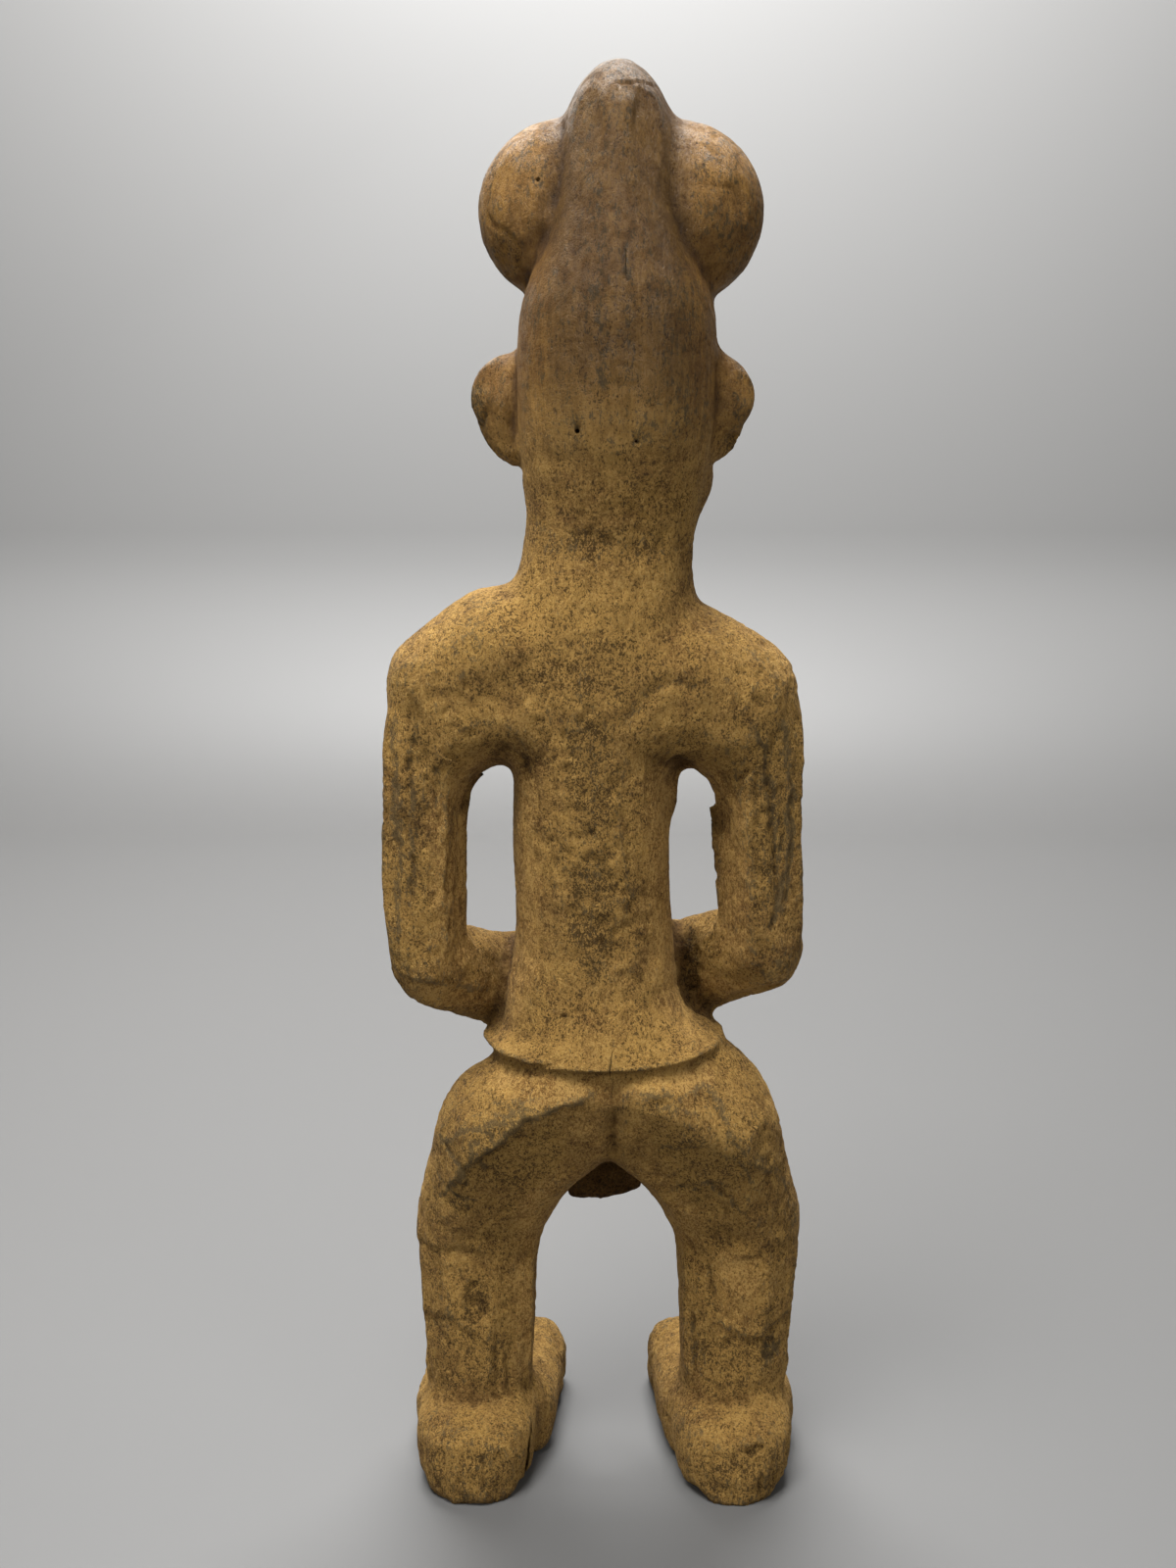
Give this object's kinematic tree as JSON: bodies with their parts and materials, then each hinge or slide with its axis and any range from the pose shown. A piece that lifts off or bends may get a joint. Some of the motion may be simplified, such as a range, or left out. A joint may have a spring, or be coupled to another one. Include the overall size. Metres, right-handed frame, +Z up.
{
  "type": "carved wooden standing figure",
  "caption": "Standing fertility figure in the Bamum manner, carved in one piece of hardwood, with a crested lobed headdress, hands on the belly, a flared waistband and broad flat feet.",
  "frame": {"origin": "middle of the footprint's box, on the ground under the feet", "axes": "+Z up along the figure, which faces -Y; +X is the figure's own left"},
  "size_m": [0.1838, 0.1186, 0.5998],
  "materials": {
    "wood": "hand-carved hardwood under a matte ochre clay patina, rubbed grey-brown on the high places"
  },
  "bodies": {
    "root": {"figure": "wood"}
  },
  "joints": []
}
